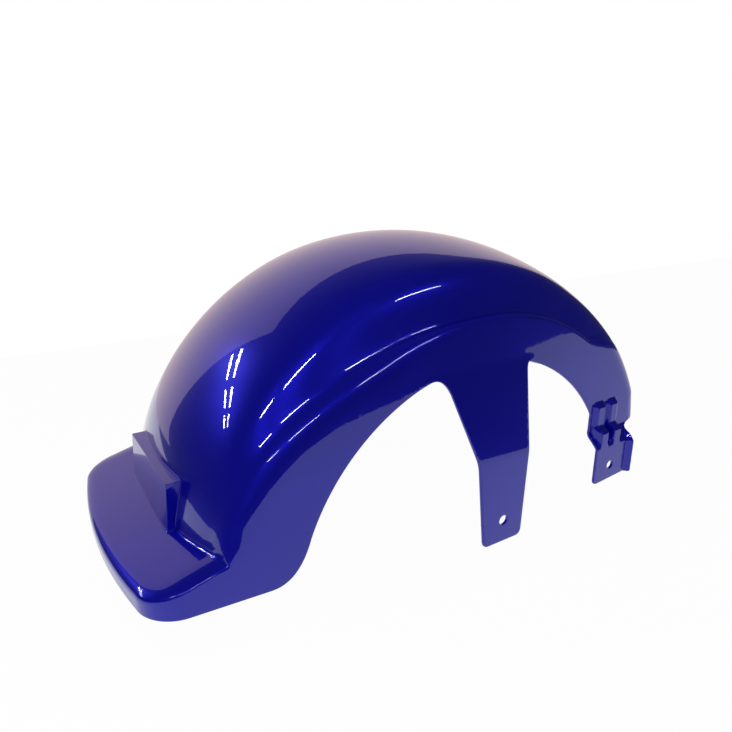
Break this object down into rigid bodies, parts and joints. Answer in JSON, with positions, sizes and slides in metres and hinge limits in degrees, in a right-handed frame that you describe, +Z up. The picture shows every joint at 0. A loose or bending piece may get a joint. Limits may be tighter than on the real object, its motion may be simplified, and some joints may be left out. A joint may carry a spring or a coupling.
{
  "type": "motorcycle rear fender",
  "caption": "Arched rear fender for a fat-tyred scooter, with flat skirts, a tail shelf and turned-down lip, a hollow lamp box, slanted fixing legs and a drilled, ribbed foot.",
  "frame": {"origin": "on the axis of the leg bolt holes, midway between the two legs", "axes": "+X forward, from the tail to the foot; +Y to the left, along the axis of the leg bolt holes; +Z up, towards the crown of the arch"},
  "size_m": [0.5873, 0.301, 0.2944],
  "materials": {
    "paint": "deep blue gloss paint under a clear coat"
  },
  "bodies": {
    "root": {"fender": "paint"}
  },
  "joints": []
}
